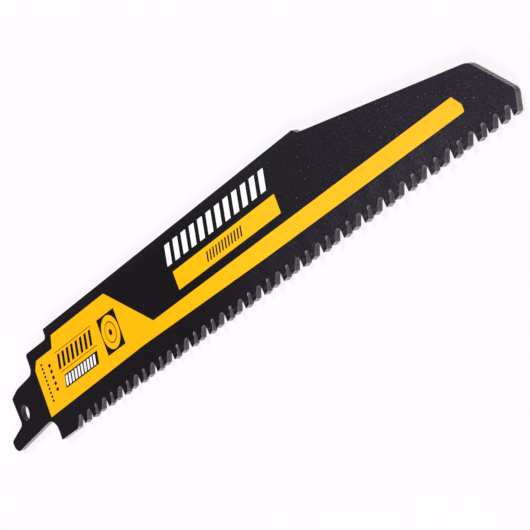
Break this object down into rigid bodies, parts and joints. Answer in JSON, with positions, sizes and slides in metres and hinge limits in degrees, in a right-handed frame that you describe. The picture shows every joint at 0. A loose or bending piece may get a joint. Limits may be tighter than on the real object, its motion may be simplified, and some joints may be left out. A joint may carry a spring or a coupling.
{
  "type": "reciprocating saw blade",
  "caption": "Tapered reciprocating saw blade with a canted tang, a pin hole and set, carbide-tipped teeth, black with a stepped yellow print.",
  "frame": {"origin": "middle of the bounding box in X and Y, at the lowest tooth tip in Z: the blade lies flat with its printed face up", "axes": "+X along the tooth line towards the nose, +Y from the teeth to the back, +Z out of the printed face"},
  "size_m": [0.2256, 0.0264, 0.0021],
  "materials": {
    "black_paint": "satin black paint over the whole sheet, bare grey steel on its cut edges",
    "carbide": "ground grey carbide, painted black on its sides",
    "yellow_ink": "satin yellow printed ink"
  },
  "bodies": {
    "root": {"blade_body": "black_paint", "carbide_tip_01": "carbide", "carbide_tip_02": "carbide", "carbide_tip_03": "carbide", "carbide_tip_04": "carbide", "carbide_tip_05": "carbide", "carbide_tip_06": "carbide", "carbide_tip_07": "carbide", "carbide_tip_08": "carbide", "carbide_tip_09": "carbide", "carbide_tip_10": "carbide", "carbide_tip_11": "carbide", "carbide_tip_12": "carbide", "carbide_tip_13": "carbide", "carbide_tip_14": "carbide", "carbide_tip_15": "carbide", "carbide_tip_16": "carbide", "carbide_tip_17": "carbide", "carbide_tip_18": "carbide", "carbide_tip_19": "carbide", "carbide_tip_20": "carbide", "carbide_tip_21": "carbide", "carbide_tip_22": "carbide", "carbide_tip_23": "carbide", "carbide_tip_24": "carbide", "carbide_tip_25": "carbide", "carbide_tip_26": "carbide", "carbide_tip_27": "carbide", "carbide_tip_28": "carbide", "carbide_tip_29": "carbide", "carbide_tip_30": "carbide", "carbide_tip_31": "carbide", "carbide_tip_32": "carbide", "carbide_tip_33": "carbide", "carbide_tip_34": "carbide", "carbide_tip_35": "carbide", "carbide_tip_36": "carbide", "carbide_tip_37": "carbide", "carbide_tip_38": "carbide", "carbide_tip_39": "carbide", "carbide_tip_40": "carbide", "carbide_tip_41": "carbide", "carbide_tip_42": "carbide", "carbide_tip_43": "carbide", "carbide_tip_44": "carbide", "carbide_tip_45": "carbide", "print_field": "yellow_ink", "print_bar": "yellow_ink"}
  },
  "joints": []
}
